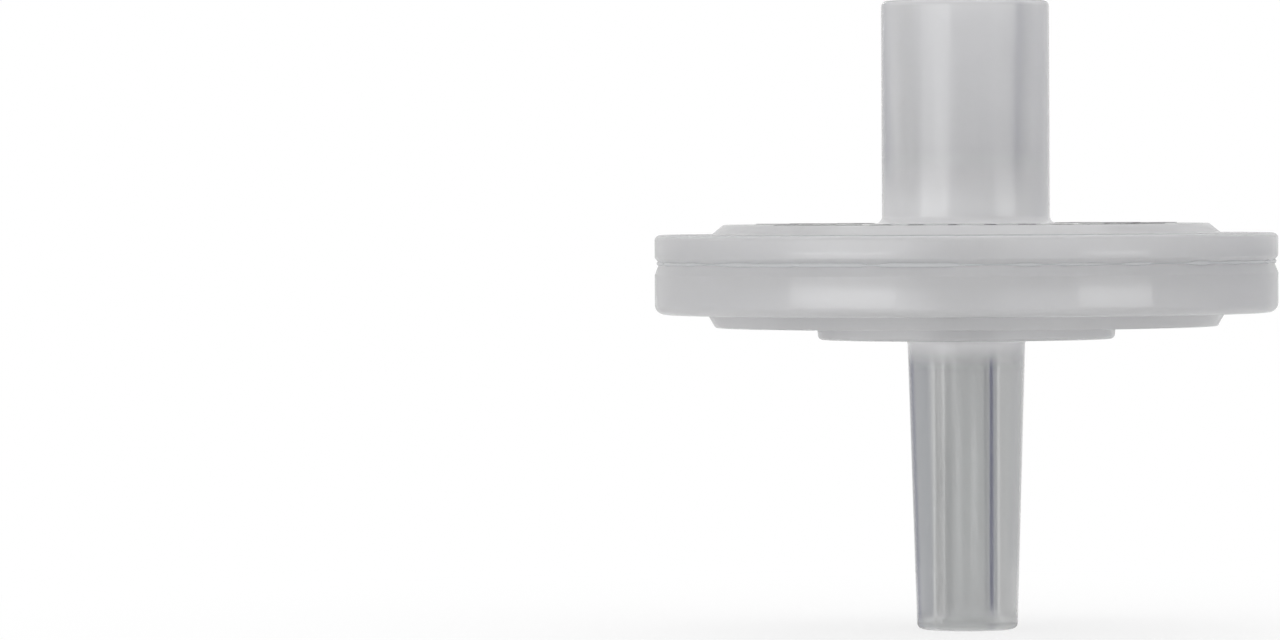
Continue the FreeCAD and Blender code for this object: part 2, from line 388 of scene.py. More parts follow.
@dataclass(frozen=True)
class PorousPolyester:
    """Porous polyester film, matt and white like paper, with a faint fibrous mottling."""

    name: str = "porous_polyester_film"
    colour: str = "#F1F1EE"
    shade: str = "#E4E4E0"
    roughness: float = 0.85
    mottle_size: float = 0.25  # mm, drawn far coarser than the pores, which are too fine to see
    mottle_detail: float = 4.0
    mottle_depth: float = 0.01  # mm

    def build(self) -> Material:
        """Makes the material, mottled in Object coordinates.

        Returns:
            The material.
        """
        material, tree = new_material(self.name)
        add = partial(add_node, tree)
        place = add("ShaderNodeTexCoord").outputs["Object"]
        mottle = add("ShaderNodeTexNoise", {
            "Vector": place, "Scale": 1 / (self.mottle_size * MM), "Detail": self.mottle_detail,
        })
        colour = add("ShaderNodeMix", {
            "Factor": mottle, "A": linear(self.colour), "B": linear(self.shade),
        }, data_type="RGBA")
        bump = add("ShaderNodeBump", {"Height": mottle, "Distance": self.mottle_depth * MM})
        shader = add("ShaderNodeBsdfPrincipled", {
            "Base Color": colour, "Roughness": self.roughness, "Normal": bump,
        })
        add("ShaderNodeOutputMaterial", {"Surface": shader})
        return material


@dataclass(frozen=True)
class PadPrintInk:
    """Black pad-printing ink on plastic: a thin satin film, a little thinner and greyer in patches."""

    name: str = "black_pad_print_ink"
    colour: str = "#141416"
    thin_colour: str = "#26272A"
    roughness: float = 0.42
    patch_size: float = 0.5  # mm

    def build(self) -> Material:
        """Makes the material, patchy in Object coordinates.

        Returns:
            The material.
        """
        material, tree = new_material(self.name)
        add = partial(add_node, tree)
        place = add("ShaderNodeTexCoord").outputs["Object"]
        patch = add("ShaderNodeTexNoise", {"Vector": place, "Scale": 1 / (self.patch_size * MM)})
        colour = add("ShaderNodeMix", {
            "Factor": patch, "A": linear(self.colour), "B": linear(self.thin_colour),
        }, data_type="RGBA")
        shader = add("ShaderNodeBsdfPrincipled", {"Base Color": colour, "Roughness": self.roughness})
        add("ShaderNodeOutputMaterial", {"Surface": shader})
        return material


# ---- Objects and their meshes -------------------------------------------------------------------

def add_object(name: str, data: ID) -> Object:
    """Makes an object at the origin and links it into the scene.

    Args:
        name: the object's name.
        data: its mesh, text, light or camera.

    Returns:
        The object.
    """
    made = bpy.data.objects.new(name, data)
    bpy.context.scene.collection.objects.link(made)
    return made


def reshade(piece: Object) -> None:
    """Shades a piece smooth up to its sharp edges."""
    piece.data.shade_smooth()
    piece.data.set_sharp_from_angle(angle=SHARP_EDGE)


def new_piece(name: str, body: BMesh, finish: Material) -> Object:
    """Turns a working mesh into a smooth-shaded object at the origin.

    Args:
        name: the object's name.
        body: the working mesh, in metres, which is freed.
        finish: the object's material.

    Returns:
        The object, linked into the scene.
    """
    mesh = bpy.data.meshes.new(name)
    body.to_mesh(mesh)
    body.free()
    mesh.materials.append(finish)
    piece = add_object(name, mesh)
    reshade(piece)
    return piece


def finished_mesh(made: Object) -> Mesh:
    """A new mesh of what an object's text or modifiers make."""
    return bpy.data.meshes.new_from_object(made.evaluated_get(bpy.context.evaluated_depsgraph_get()))


def make_plain(piece: Object) -> None:
    """Turns what a piece's modifiers make into its plain mesh, and removes them.

    Args:
        piece: the object.
    """
    mesh = finished_mesh(piece)
    piece.modifiers.clear()
    piece.data = mesh


def unite(body: Object, addition: Object) -> None:
    """Fuses an addition into a body, as one moulding, and removes the addition.

    Args:
        body: the object that stays.
        addition: the closed object that goes into it.
    """
    fuse = body.modifiers.new("Fuse", "BOOLEAN")
    fuse.object = addition
    fuse.operation = "UNION"
    fuse.solver = "MANIFOLD"
    make_plain(body)
    reshade(body)
    bpy.data.objects.remove(addition)


def true_flats(piece: Object) -> None:
    """Keeps the shading of flat and straight walls true right up to their rounded edges.

    Args:
        piece: the object to shade.
    """
    weighted = piece.modifiers.new("True flats", "WEIGHTED_NORMAL")
    weighted.weight = 100  # percent, so that the largest face at a corner leads
    weighted.keep_sharp = True
    make_plain(piece)


# ---- Turned and moulded forms -------------------------------------------------------------------

@dataclass(frozen=True)
class Corner:
    """A corner of a turned outline: radius, height and rounding, in millimetres."""

    r: float
    z: float
    rounding: float = 0.0


def corner_points(before: Corner, corner: Corner, after: Corner) -> list[tuple[float, float]]:
    """The outline's points at one corner.

    Args:
        before: the corner before it.
        corner: the corner itself.
        after: the corner after it.

    Returns:
        One point for a sharp corner, or the points of its arc.
    """
    here = Vector((corner.r, corner.z))
    if not corner.rounding:
        return [tuple(here)]
    to_before = (Vector((before.r, before.z)) - here).normalized()
    to_after = (Vector((after.r, after.z)) - here).normalized()
    half_angle = to_before.angle(to_after) / 2
    centre = here + (to_before + to_after).normalized() * (corner.rounding / math.sin(half_angle))
    setback = corner.rounding / math.tan(half_angle)
    start = here + to_before * setback - centre
    end = here + to_after * setback - centre
    first, last = (math.atan2(v.y, v.x) for v in (start, end))
    sweep = (last - first + math.pi) % (2 * math.pi) - math.pi
    angles = [first + sweep * i / ARC_STEPS for i in range(ARC_STEPS + 1)]
    return [(centre.x + corner.rounding * math.cos(a), centre.y + corner.rounding * math.sin(a))
            for a in angles]


def turned(name: str, corners: list[Corner], finish: Material) -> Object:
    """A closed solid of revolution about +Z.

    Args:
        name: the object's name.
        corners: the section's corners in order, none of them on the axis.
        finish: the object's material.

    Returns:
        The object, with its faces pointing outwards.
    """
    points = []
    for i, corner in enumerate(corners):
        points += corner_points(corners[i - 1], corner, corners[(i + 1) % len(corners)])
    body = bmesh.new()
    rings = []
    for i in range(TURNED_SEGMENTS):
        angle = 2 * math.pi * i / TURNED_SEGMENTS
        turn = (math.cos(angle), math.sin(angle))
        rings.append([body.verts.new((r * turn[0] * MM, r * turn[1] * MM, z * MM)) for r, z in points])
    for i, ring in enumerate(rings):
        following = rings[(i + 1) % TURNED_SEGMENTS]
        for j in range(len(points)):
            k = (j + 1) % len(points)
            body.faces.new((ring[j], following[j], following[k], ring[k]))
    bmesh.ops.recalc_face_normals(body, faces=body.faces)
    return new_piece(name, body, finish)


class RibEnd(Enum):
    """How an arc rib ends."""

    SQUARE = "square"  # flat, along the channel beside it
    ROUND = "round"  # a full half circle


@dataclass(frozen=True)
class ArcRib:
    """A flat rib that follows an arc about the axis, from one channel's edge to the next channel's edge."""

    inner_r: float
    outer_r: float
    root_z: float  # where it goes into its wall
    tip_z: float
    channel_w: float
    sector: float  # angle from one channel's middle to the next, radians
    far_end: RibEnd
    edge_round: float = 0.09

    def outline(self) -> list[tuple[float, float]]:
        """Draws round the rib: along its outer arc, round its far end and back along its inner arc.

        Returns:
            The outline, anticlockwise, in millimetres.
        """
        half = self.channel_w / 2
        middle_r = (self.inner_r + self.outer_r) / 2
        nose_r = (self.outer_r - self.inner_r) / 2
        starts = {r: math.asin(half / r) for r in (self.inner_r, self.outer_r)}
        if self.far_end is RibEnd.ROUND:
            ends = dict.fromkeys(starts, self.sector - math.asin((half + nose_r) / middle_r))
        else:
            ends = {r: self.sector - starts[r] for r in starts}
        outer = self.arc(self.outer_r, starts[self.outer_r], ends[self.outer_r])
        inner = self.arc(self.inner_r, ends[self.inner_r], starts[self.inner_r])
        nose = []
        if self.far_end is RibEnd.ROUND:
            end = ends[self.outer_r]
            centre = Vector((math.cos(end), math.sin(end))) * middle_r
            for i in range(1, ARC_STEPS * 2):
                angle = end + math.pi * i / (ARC_STEPS * 2)
                nose.append(tuple(centre + Vector((math.cos(angle), math.sin(angle))) * nose_r))
        return outer + nose + inner

    @staticmethod
    def arc(radius: float, start: float, end: float) -> list[tuple[float, float]]:
        """Points along an arc about the axis, from its start angle to its end angle."""
        angles = [start + (end - start) * (i / RIB_STEPS) for i in range(RIB_STEPS + 1)]
        return [(radius * math.cos(a), radius * math.sin(a)) for a in angles]

    def add_to(self, body: BMesh, mirrored_in: float | None = None) -> None:
        """Adds the rib to a mesh.

        Args:
            body: the mesh, in metres.
            mirrored_in: the angle of a line through the axis to mirror the rib in, if any.
        """
        outline = self.outline()
        if mirrored_in is not None:
            turn = 2 * mirrored_in
            flip = [(x * math.cos(turn) + y * math.sin(turn), x * math.sin(turn) - y * math.cos(turn))
                    for x, y in outline]
            outline = flip[::-1]
        rows = [[body.verts.new((x * MM, y * MM, z * MM)) for x, y in outline]
                for z in (self.root_z, self.tip_z)]
        count = len(outline)
        caps = [body.faces.new(rows[0][::-1]), body.faces.new(rows[1])]
        sides = [body.faces.new((rows[0][i], rows[0][(i + 1) % count], rows[1][(i + 1) % count], rows[1][i]))
                 for i in range(count)]
        if self.tip_z < self.root_z:
            bmesh.ops.reverse_faces(body, faces=caps + sides)
        bmesh.ops.bevel(body, geom=list(caps[1].edges), offset=self.edge_round * MM, segments=EDGE_SEGMENTS,
                        profile=0.5, affect="EDGES", clamp_overlap=True)


# ---- Geometry Nodes -----------------------------------------------------------------------------

def new_tree(name: str, inputs: dict[str, str], output: str) -> NodeTree:
    """Makes a Geometry Nodes tree with named inputs and one output.

    Args:
        name: the tree's name.
        inputs: each input's name and the kind of its socket.
        output: the name of the geometry it gives.

    Returns:
        The tree, without nodes.
    """
    tree = bpy.data.node_groups.new(name, "GeometryNodeTree")
    for label, kind in inputs.items():
        tree.interface.new_socket(label, in_out="INPUT", socket_type="NodeSocket" + kind)
    tree.interface.new_socket(output, in_out="OUTPUT", socket_type="NodeSocketGeometry")
    return tree


def end_tree(tree: NodeTree, made: Node, finish: NodeSocket) -> None:
    """Ends a tree in real geometry that wears its finish.

    Args:
        tree: the tree.
        made: the node that gives what the tree has made.
        finish: the tree's material input.
    """
    add = partial(add_node, tree)
    real = add("GeometryNodeRealizeInstances", {0: made})
    dressed = add("GeometryNodeSetMaterial", {"Geometry": real, "Material": finish})
    add("NodeGroupOutput", {0: dressed})


def run_tree(piece: Object, tree: NodeTree, inputs: dict[str, object]) -> None:
    """Runs a tree on a piece and turns the result into the piece's plain mesh.

    Args:
        piece: the object that the tree works on.
        tree: the tree.
        inputs: the value of each named input, apart from the piece's own geometry.
    """
    sockets = {item.name: item.identifier for item in tree.interface.items_tree if item.in_out == "INPUT"}
    modifier = piece.modifiers.new(tree.name, "NODES")
    modifier.node_group = tree
    for name, value in inputs.items():
        modifier[sockets[name]] = value
    make_plain(piece)
    reshade(piece)


def repeater() -> NodeTree:
    """Makes the Geometry Nodes tree that repeats a piece by turns about the flow axis.

    Returns:
        The tree, with the copies in all and the radians from one to the next as named inputs.
    """
    tree = new_tree("Repeat round the axis", {
        "Piece": "Geometry", "Copies": "Int", "Turn": "Float", "Finish": "Material",
    }, "Repeated")
    add = partial(add_node, tree)
    given = add("NodeGroupInput").outputs
    points = add("GeometryNodeMeshLine", {"Count": given["Copies"], "Offset": (0, 0, 0)})
    number = add("GeometryNodeInputIndex")
    angle = add("ShaderNodeMath", {0: number, 1: given["Turn"]}, operation="MULTIPLY")
    euler = add("ShaderNodeCombineXYZ", {"Z": angle})
    rotation = add("FunctionNodeEulerToRotation", {0: euler})
    placed = add("GeometryNodeInstanceOnPoints", {
        "Points": points, "Instance": given["Piece"], "Rotation": rotation,
    })
    end_tree(tree, placed, given["Finish"])
    return tree


# ---- Sub-assemblies -----------------------------------------------------------------------------

@dataclass
class FilterLevels:
    """Heights and radii that both shells share, in millimetres."""

    seam_groove_depth: float = 0.18
    tongue_in: float = 0.57  # seam edge to weld tongue
    tongue_w: float = 0.70
    tongue_clearance: float = 0.03
    clamp_w: float = 1.85
    membrane_clearance: float = 0.10
    sectors: int = 8
    rim_r: float = field(init=False)
    seam_z: float = field(init=False)
    tongue_z: float = field(init=False)
    mouth_z: float = field(init=False)
    membrane_z: Span = field(init=False)
    membrane_r: float = field(init=False)

    def __post_init__(self) -> None:
        """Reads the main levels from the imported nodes."""
        inlet, outlet, membrane = (box_mm(n) for n in ("inlet_housing", "outlet_housing", "filter_membrane"))
        self.rim_r = outlet[1].x
        self.seam_z = outlet[1].z
        self.tongue_z = inlet[0].z
        self.mouth_z = inlet[1].z
        self.membrane_z = (membrane[0].z, membrane[1].z)
        self.membrane_r = membrane[1].x

    @property
    def seam_r(self) -> float:
        """Radius of the seam at the bottom of the rim's groove."""
        return self.rim_r - self.seam_groove_depth

    @property
    def tongue_r(self) -> tuple[float, float]:
        """Inner and outer radius of the weld tongue."""
        outer = self.seam_r - self.tongue_in
        return outer - self.tongue_w, outer

    @property
    def pocket_r(self) -> float:
        """Radius of the pocket that the membrane lies in."""
        return self.membrane_r + self.membrane_clearance

    @property
    def chamber_r(self) -> float:
        """Radius of the chambers above and below the membrane."""
        return self.membrane_r - self.clamp_w


@dataclass(frozen=True)
class ArcRows:
    """Rows of arc ribs round the axis, with a channel from one sector to the next."""

    name: str
    rows: int
    rib_w: float
    gap: float  # from one row to the next
    margin: float  # from the chamber's wall to the outermost row
    root: float  # how far the ribs go into the wall that carries them
    channel_w: float
    far_end: RibEnd  # ribs with a round far end turn it towards each other across every second channel

    def build(self, levels: FilterLevels, wall_z: float, tip_z: float, repeat: NodeTree,
              finish: Material) -> Object:
        """Makes the rows for the sectors that differ, and repeats them round the axis.

        Args:
            levels: the radii of the filter.
            wall_z: the height of the wall that carries the ribs.
            tip_z: the height that they reach.
            repeat: the tree that repeats a piece.
            finish: their material.

        Returns:
            All the ribs as one object.
        """
        sector = 2 * math.pi / levels.sectors
        root_z = wall_z + math.copysign(self.root, wall_z - tip_z)
        built = 2 if self.far_end is RibEnd.ROUND else 1  # sectors, of which the second mirrors the first
        body = bmesh.new()
        for row in range(self.rows):
            outer_r = levels.chamber_r - self.margin - row * (self.rib_w + self.gap)
            rib = ArcRib(outer_r - self.rib_w, outer_r, root_z, tip_z, self.channel_w, sector, self.far_end)
            rib.add_to(body)
            if built == 2:
                rib.add_to(body, mirrored_in=sector)
        bmesh.ops.recalc_face_normals(body, faces=body.faces)
        ribs = new_piece(self.name, body, finish)
        run_tree(ribs, repeat, {
            "Copies": levels.sectors // built, "Turn": built * sector, "Finish": finish,
        })
        return ribs


def moulded(name: str, corners: list[Corner], ribs: Object, finish: Material) -> Object:
    """Makes a turned shell and its ribs as one moulding.

    Args:
        name: the object's name.
        corners: the shell's section.
        ribs: the ribs, which go into the shell.
        finish: the plastic.

    Returns:
        The shell.
    """
    shell = turned(name, corners, finish)
    unite(shell, ribs)
    true_flats(shell)
    return shell


@dataclass
class InletHousing:
    """Upper shell: disc, hub with its Luer socket, weld tongue, clamp ring and the arc ribs inside."""

    levels: FilterLevels
    face_z: float = 16.28
    rim_z: float = 15.88
    roof_z: float = 14.95
    well_floor_z: float = 16.74
    well_top_z: float = 17.74
    ledge_w: float = 2.27
    face_slope_w: float = 0.50
    seam_bevel_h: float = 0.22
    bore_r: float = 1.0
    bore_flare: float = 0.45
    lead_in: float = 0.15
    tongue_chamfer: float = 0.12
    rib_tip_gap: float = 0.15  # from the ribs to the membrane
    flow_ribs: ArcRows = ArcRows("flow_ribs", rows=3, rib_w=0.80, gap=0.45, margin=0.57, root=0.20,
                                 channel_w=1.05, far_end=RibEnd.ROUND)
    roundings: dict[str, float] = field(default_factory=lambda: {
        "mouth": 0.25, "hub_foot": 0.32, "face": 0.20, "ledge": 0.35, "rim": 0.22, "seam": 0.14,
        "inside": 0.06,
    })

    def section(self) -> list[Corner]:
        """Draws the shell's section, without ribs.

        Returns:
            Its corners, from the socket's mouth over the hub and disc, and back through chamber and bore.
        """
        at, soft = self.levels, self.roundings
        hub_r, well_r = mount_radius("inlet_hub"), mount_radius("inlet_luer_socket")
        mouth_r = well_r + LUER_TAPER / 2 * (at.mouth_z - self.well_top_z)
        foot_r = at.rim_r - self.ledge_w
        tongue_inner_r, tongue_outer_r = at.tongue_r
        seam_z = at.seam_z + CONTACT_GAP
        clamp_z = at.membrane_z[1] + CONTACT_GAP
        cut = self.tongue_chamfer
        return [
            Corner(mouth_r + self.lead_in, at.mouth_z),
            Corner(hub_r, at.mouth_z, soft["mouth"]),
            Corner(hub_r, self.face_z, soft["hub_foot"]),
            Corner(foot_r - self.face_slope_w, self.face_z, soft["face"]),
            Corner(foot_r, self.rim_z, soft["ledge"]),
            Corner(at.rim_r, self.rim_z, soft["rim"]),
            Corner(at.rim_r, seam_z + self.seam_bevel_h, soft["seam"]),
            Corner(at.seam_r, seam_z),
            Corner(tongue_outer_r, seam_z),
            Corner(tongue_outer_r, at.tongue_z + cut),
            Corner(tongue_outer_r - cut, at.tongue_z),
            Corner(tongue_inner_r + cut, at.tongue_z),
            Corner(tongue_inner_r, at.tongue_z + cut),
            Corner(tongue_inner_r, seam_z),
            Corner(at.membrane_r, seam_z),
            Corner(at.membrane_r, clamp_z, soft["inside"]),
            Corner(at.chamber_r, clamp_z, soft["inside"]),
            Corner(at.chamber_r, self.roof_z, soft["inside"]),
            Corner(self.bore_r + self.bore_flare, self.roof_z),
            Corner(self.bore_r, self.roof_z + self.bore_flare, soft["inside"]),
            Corner(self.bore_r, self.well_floor_z),
            Corner(well_r, self.well_floor_z, soft["inside"]),
            Corner(well_r, self.well_top_z),
            Corner(mouth_r, at.mouth_z - self.lead_in),
        ]

    def build(self, repeat: NodeTree, finish: Material) -> Object:
        """Makes the shell with its flow ribs.

        Args:
            repeat: the tree that repeats a piece round the axis.
            finish: the plastic.

        Returns:
            The shell.
        """
        tip_z = self.levels.membrane_z[1] + self.rib_tip_gap
        ribs = self.flow_ribs.build(self.levels, self.roof_z, tip_z, repeat, finish)
        return moulded("inlet_shell", self.section(), ribs, finish)


@dataclass
class OutletHousing:
    """Lower shell: disc, boss, male Luer tube, weld groove, membrane seat and support rings."""

    levels: FilterLevels
    boss_z: float = 11.65
    step_z: float = 12.15
    rim_z: float = 12.69
    floor_z: float = 13.70
    tip_r: float = 2.015
    boss_r: float = 5.99
    boss_slope_w: float = 0.05
    ledge_w: float = 2.12
    step_slope_w: float = 0.30
    seam_bevel_h: float = 0.45
    groove_depth: float = 0.50
    bore_flare: float = 0.45
    tip_flare: float = 0.12
    support_rings: ArcRows = ArcRows("support_rings", rows=5, rib_w=0.50, gap=0.75, margin=0.45, root=0.20,
                                     channel_w=0.80, far_end=RibEnd.SQUARE)
    roundings: dict[str, float] = field(default_factory=lambda: {
        "tip": 0.27, "tube_foot": 0.20, "boss": 0.18, "boss_foot": 0.06, "step": 0.12, "ledge": 0.08,
        "rim": 0.40, "bevel": 0.12, "inside": 0.06,
    })

    def section(self) -> list[Corner]:
        """Draws the shell's section, without support rings.

        Returns:
            Its corners, from the tip over the tube, boss and disc, and back through seat and chamber.
        """
        at, soft = self.levels, self.roundings
        bore_r = mount_radius("outlet_bore")
        root_r = at.rim_r - self.ledge_w
        groove_inner_r = at.tongue_r[0] - at.tongue_clearance
        groove_outer_r = at.tongue_r[1] + at.tongue_clearance
        groove_z = at.seam_z - self.groove_depth
        seat_z = at.membrane_z[0] - CONTACT_GAP
        foot_r = self.tip_r + LUER_TAPER / 2 * self.boss_z
        return [
            Corner(bore_r + self.tip_flare, 0),
            Corner(self.tip_r, 0, soft["tip"]),
            Corner(foot_r, self.boss_z, soft["tube_foot"]),
            Corner(self.boss_r - self.boss_slope_w, self.boss_z, soft["boss"]),
            Corner(self.boss_r, self.step_z, soft["boss_foot"]),
            Corner(root_r - self.step_slope_w, self.step_z, soft["step"]),
            Corner(root_r, self.rim_z, soft["ledge"]),
            Corner(at.rim_r, self.rim_z, soft["rim"]),
            Corner(at.rim_r, at.seam_z - self.seam_bevel_h, soft["bevel"]),
            Corner(at.seam_r, at.seam_z),
            Corner(groove_outer_r, at.seam_z),
            Corner(groove_outer_r, groove_z),
            Corner(groove_inner_r, groove_z),
            Corner(groove_inner_r, at.seam_z),
            Corner(at.pocket_r, at.seam_z),
            Corner(at.pocket_r, seat_z),
            Corner(at.chamber_r, seat_z, soft["inside"]),
            Corner(at.chamber_r, self.floor_z, soft["inside"]),
            Corner(bore_r + self.bore_flare, self.floor_z),
            Corner(bore_r, self.floor_z - self.bore_flare, soft["inside"]),
            Corner(bore_r, self.tip_flare),
        ]

    def build(self, repeat: NodeTree, finish: Material) -> Object:
        """Makes the shell with its support rings, which reach up to the membrane.

        Args:
            repeat: the tree that repeats a piece round the axis.
            finish: the plastic.

        Returns:
            The shell.
        """
        tip_z = self.levels.membrane_z[0] - CONTACT_GAP
        rings = self.support_rings.build(self.levels, self.floor_z, tip_z, repeat, finish)
        return moulded("outlet_shell", self.section(), rings, finish)


@dataclass
class WeldFlash:
    """The thin, uneven bead of melt that the weld pressed out into the seam's groove."""

    levels: FilterLevels
    points: int = 900
    profile_points: int = 8
    bead_r: Span = (0.02, 0.09)  # mm, where it thins out and where it swells
    wander: float = 0.05  # mm, from side to side
    patch_size: float = 1.4  # mm along the seam between swellings
    patch_detail: float = 2.0
    patch_span: Span = (0.38, 0.62)  # of the noise, from thin to thick
    seed: float = 4.0
    wander_seed: float = 10.0  # added to the seed, so that it wanders where it likes and not where it swells

    def build(self, finish: Material) -> Object:
        """Makes the bead with a Geometry Nodes tree of its own.

        Args:
            finish: the melt's plastic.

        Returns:
            The bead.
        """
        piece = new_piece("weld_flash", bmesh.new(), finish)
        run_tree(piece, self.tree(), {
            "Seam radius": (self.levels.seam_r + self.bead_r[0]) * MM, "Height": self.levels.seam_z * MM,
            "Thin": self.bead_r[0] * MM, "Thick": self.bead_r[1] * MM, "Wander": self.wander * MM,
            "Patch size": self.patch_size * MM, "Seed": self.seed, "Finish": finish,
        })
        return piece

    def tree(self) -> NodeTree:
        """Makes the tree that lays the bead along the seam.

        Returns:
            The tree, with the bead's sizes in metres and its seed as named inputs.
        """
        sizes = ("Seam radius", "Height", "Thin", "Thick", "Wander", "Patch size", "Seed")
        tree = new_tree("Weld flash", {**dict.fromkeys(sizes, "Float"), "Finish": "Material"}, "Bead")
        add = partial(add_node, tree)
        given = add("NodeGroupInput").outputs
        ring = add("GeometryNodeCurvePrimitiveCircle", {
            "Resolution": self.points, "Radius": given["Seam radius"],
        })
        place = add("GeometryNodeInputPosition")
        often = add("ShaderNodeMath", {0: 1.0, 1: given["Patch size"]}, operation="DIVIDE")
        other = add("ShaderNodeMath", {0: given["Seed"], 1: self.wander_seed}, operation="ADD")
        swelling, wandering = (
            add("ShaderNodeTexNoise", {
                "Vector": place, "W": seed, "Scale": often, "Detail": self.patch_detail,
            }, noise_dimensions="4D")
            for seed in (given["Seed"], other)
        )
        bead_r = add("ShaderNodeMapRange", {
            "Value": swelling, "From Min": self.patch_span[0], "From Max": self.patch_span[1],
            "To Min": given["Thin"], "To Max": given["Thick"],
        }, interpolation_type="SMOOTHSTEP")
        aside = add("ShaderNodeMath", {0: wandering, 1: -0.5}, operation="ADD")
        shift = add("ShaderNodeMath", {0: aside, 1: given["Wander"]}, operation="MULTIPLY")
        rise = add("ShaderNodeMath", {0: shift, 1: given["Height"]}, operation="ADD")
        offset = add("ShaderNodeCombineXYZ", {"Z": rise})
        laid = add("GeometryNodeSetPosition", {"Geometry": ring, "Offset": offset})
        profile = add("GeometryNodeCurvePrimitiveCircle", {"Resolution": self.profile_points, "Radius": 1.0})
        bead = add("GeometryNodeCurveToMesh", {"Curve": laid, "Profile Curve": profile, "Scale": bead_r})
        end_tree(tree, bead, given["Finish"])
        return tree


@dataclass
class FacePrint:
    """Plain black dial marks on the inlet face: numerals on its far side and a scale on its near side."""

    face_z: float
    ink_t: float = 0.015
    ink_sink: float = 0.005  # how far the film reaches into the face, so that nothing shows between
    numerals: str = "123456789"
    numeral_r: float = 8.75
    numeral_h: float = 2.0
    font_size: float = 1.37  # against the height of its capitals
    merge_distance: float = 0.001
    numeral_arc: Span = (math.radians(150), math.radians(30))
    stroke_r: Span = (7.9, 9.6)
    stroke_w: float = 0.32
    stroke_round: float = 0.12  # at its corners, against its length and its width
    stroke_round_steps: int = 4
    stroke_arc: Span = (math.radians(219), math.radians(324))
    strokes: int = 12

    def build(self, repeat: NodeTree, finish: Material) -> list[Object]:
        """Makes the numerals and the scale of strokes."""
        return [self.numeral_ring(finish), self.stroke_scale(repeat, finish)]

    def numeral_ring(self, finish: Material) -> Object:
        """Makes the numerals, which stand round the far side of the face with their feet towards the hub.

        Args:
            finish: the ink.

        Returns:
            All the numerals as one object.
        """
        start, end = self.numeral_arc
        lift = (self.face_z + (self.ink_t - self.ink_sink) / 2) * MM
        ring = bmesh.new()
        for i, numeral in enumerate(self.numerals):
            angle = start + (end - start) * i / (len(self.numerals) - 1)
            curve = bpy.data.curves.new("numeral", "FONT")
            curve.body = numeral
            curve.align_x = "CENTER"
            curve.align_y = "CENTER"
            curve.size = self.numeral_h * self.font_size * MM
            curve.extrude = (self.ink_t + self.ink_sink) / 2 * MM
            text = add_object("numeral", curve)
            mesh = finished_mesh(text)
            spot = Vector((math.cos(angle), math.sin(angle), 0)) * self.numeral_r * MM + Vector((0, 0, lift))
            mesh.transform(Matrix.Translation(spot) @ Matrix.Rotation(angle - math.pi / 2, 4, "Z"))
            ring.from_mesh(mesh)
            bpy.data.objects.remove(text)
        bmesh.ops.remove_doubles(ring, verts=ring.verts, dist=self.merge_distance * MM)
        bmesh.ops.recalc_face_normals(ring, faces=ring.faces)
        return new_piece("printed_numerals", ring, finish)

    def stroke_scale(self, repeat: NodeTree, finish: Material) -> Object:
        """Makes the radial strokes along an arc on the near side of the face.

        Args:
            repeat: the tree that repeats a piece round the axis.
            finish: the ink.

        Returns:
            All the strokes as one object.
        """
        start, end = self.stroke_arc
        length = self.stroke_r[1] - self.stroke_r[0]
        thickness = self.ink_t + self.ink_sink
        body = bmesh.new()
        bmesh.ops.create_cube(body, size=1.0)
        upright = [e for e in body.edges if abs((e.verts[0].co - e.verts[1].co).z) > 0.5]
        bmesh.ops.bevel(body, geom=upright, offset=self.stroke_round, segments=self.stroke_round_steps,
                        affect="EDGES")
        place = Matrix.Translation(((self.stroke_r[0] + length / 2) * MM, 0,
                                    (self.face_z - self.ink_sink + thickness / 2) * MM))
        size = Matrix.Diagonal((length * MM, self.stroke_w * MM, thickness * MM, 1))
        body.transform(Matrix.Rotation(start, 4, "Z") @ place @ size)
        strokes = new_piece("printed_strokes", body, finish)
        run_tree(strokes, repeat, {
            "Copies": self.strokes, "Turn": (end - start) / (self.strokes - 1), "Finish": finish,
        })
        return strokes


# ---- Studio -------------------------------------------------------------------------------------

@dataclass(frozen=True)
class Softbox:
    """A rectangular soft light, aimed at the filter."""

    name: str
    azimuth: float  # degrees round the axis, 0 towards +X and -90 towards the camera
    elevation: float
    size: tuple[float, float]
    radiance: float  # against a white of 1
    distance: float = 0.45  # metres

    def build(self, aim: Vector) -> Object:
        """Makes the light.

        Args:
            aim: the point that it faces, in metres.

        Returns:
            The light, linked into the scene.
        """
        around, up = math.radians(self.azimuth), math.radians(self.elevation)
        lamp = bpy.data.lights.new(self.name, "AREA")
        lamp.shape = "RECTANGLE"
        lamp.size, lamp.size_y = self.size
        lamp.energy = self.radiance * math.pi * self.size[0] * self.size[1]
        light = add_object(self.name, lamp)
        direction = Vector((math.cos(around) * math.cos(up), math.sin(around) * math.cos(up), math.sin(up)))
        light.location = aim + direction * self.distance
        light.rotation_euler = (-direction).to_track_quat("-Z", "Y").to_euler()
        return light


@dataclass(frozen=True)
class Flag:
    """An upright dark panel with soft edges, somewhere in the surroundings."""

    azimuth: float  # degrees round the axis, 0 towards +X and -90 towards the camera
    half_width: Span  # degrees from its middle, where its edge starts and ends
    colour: str


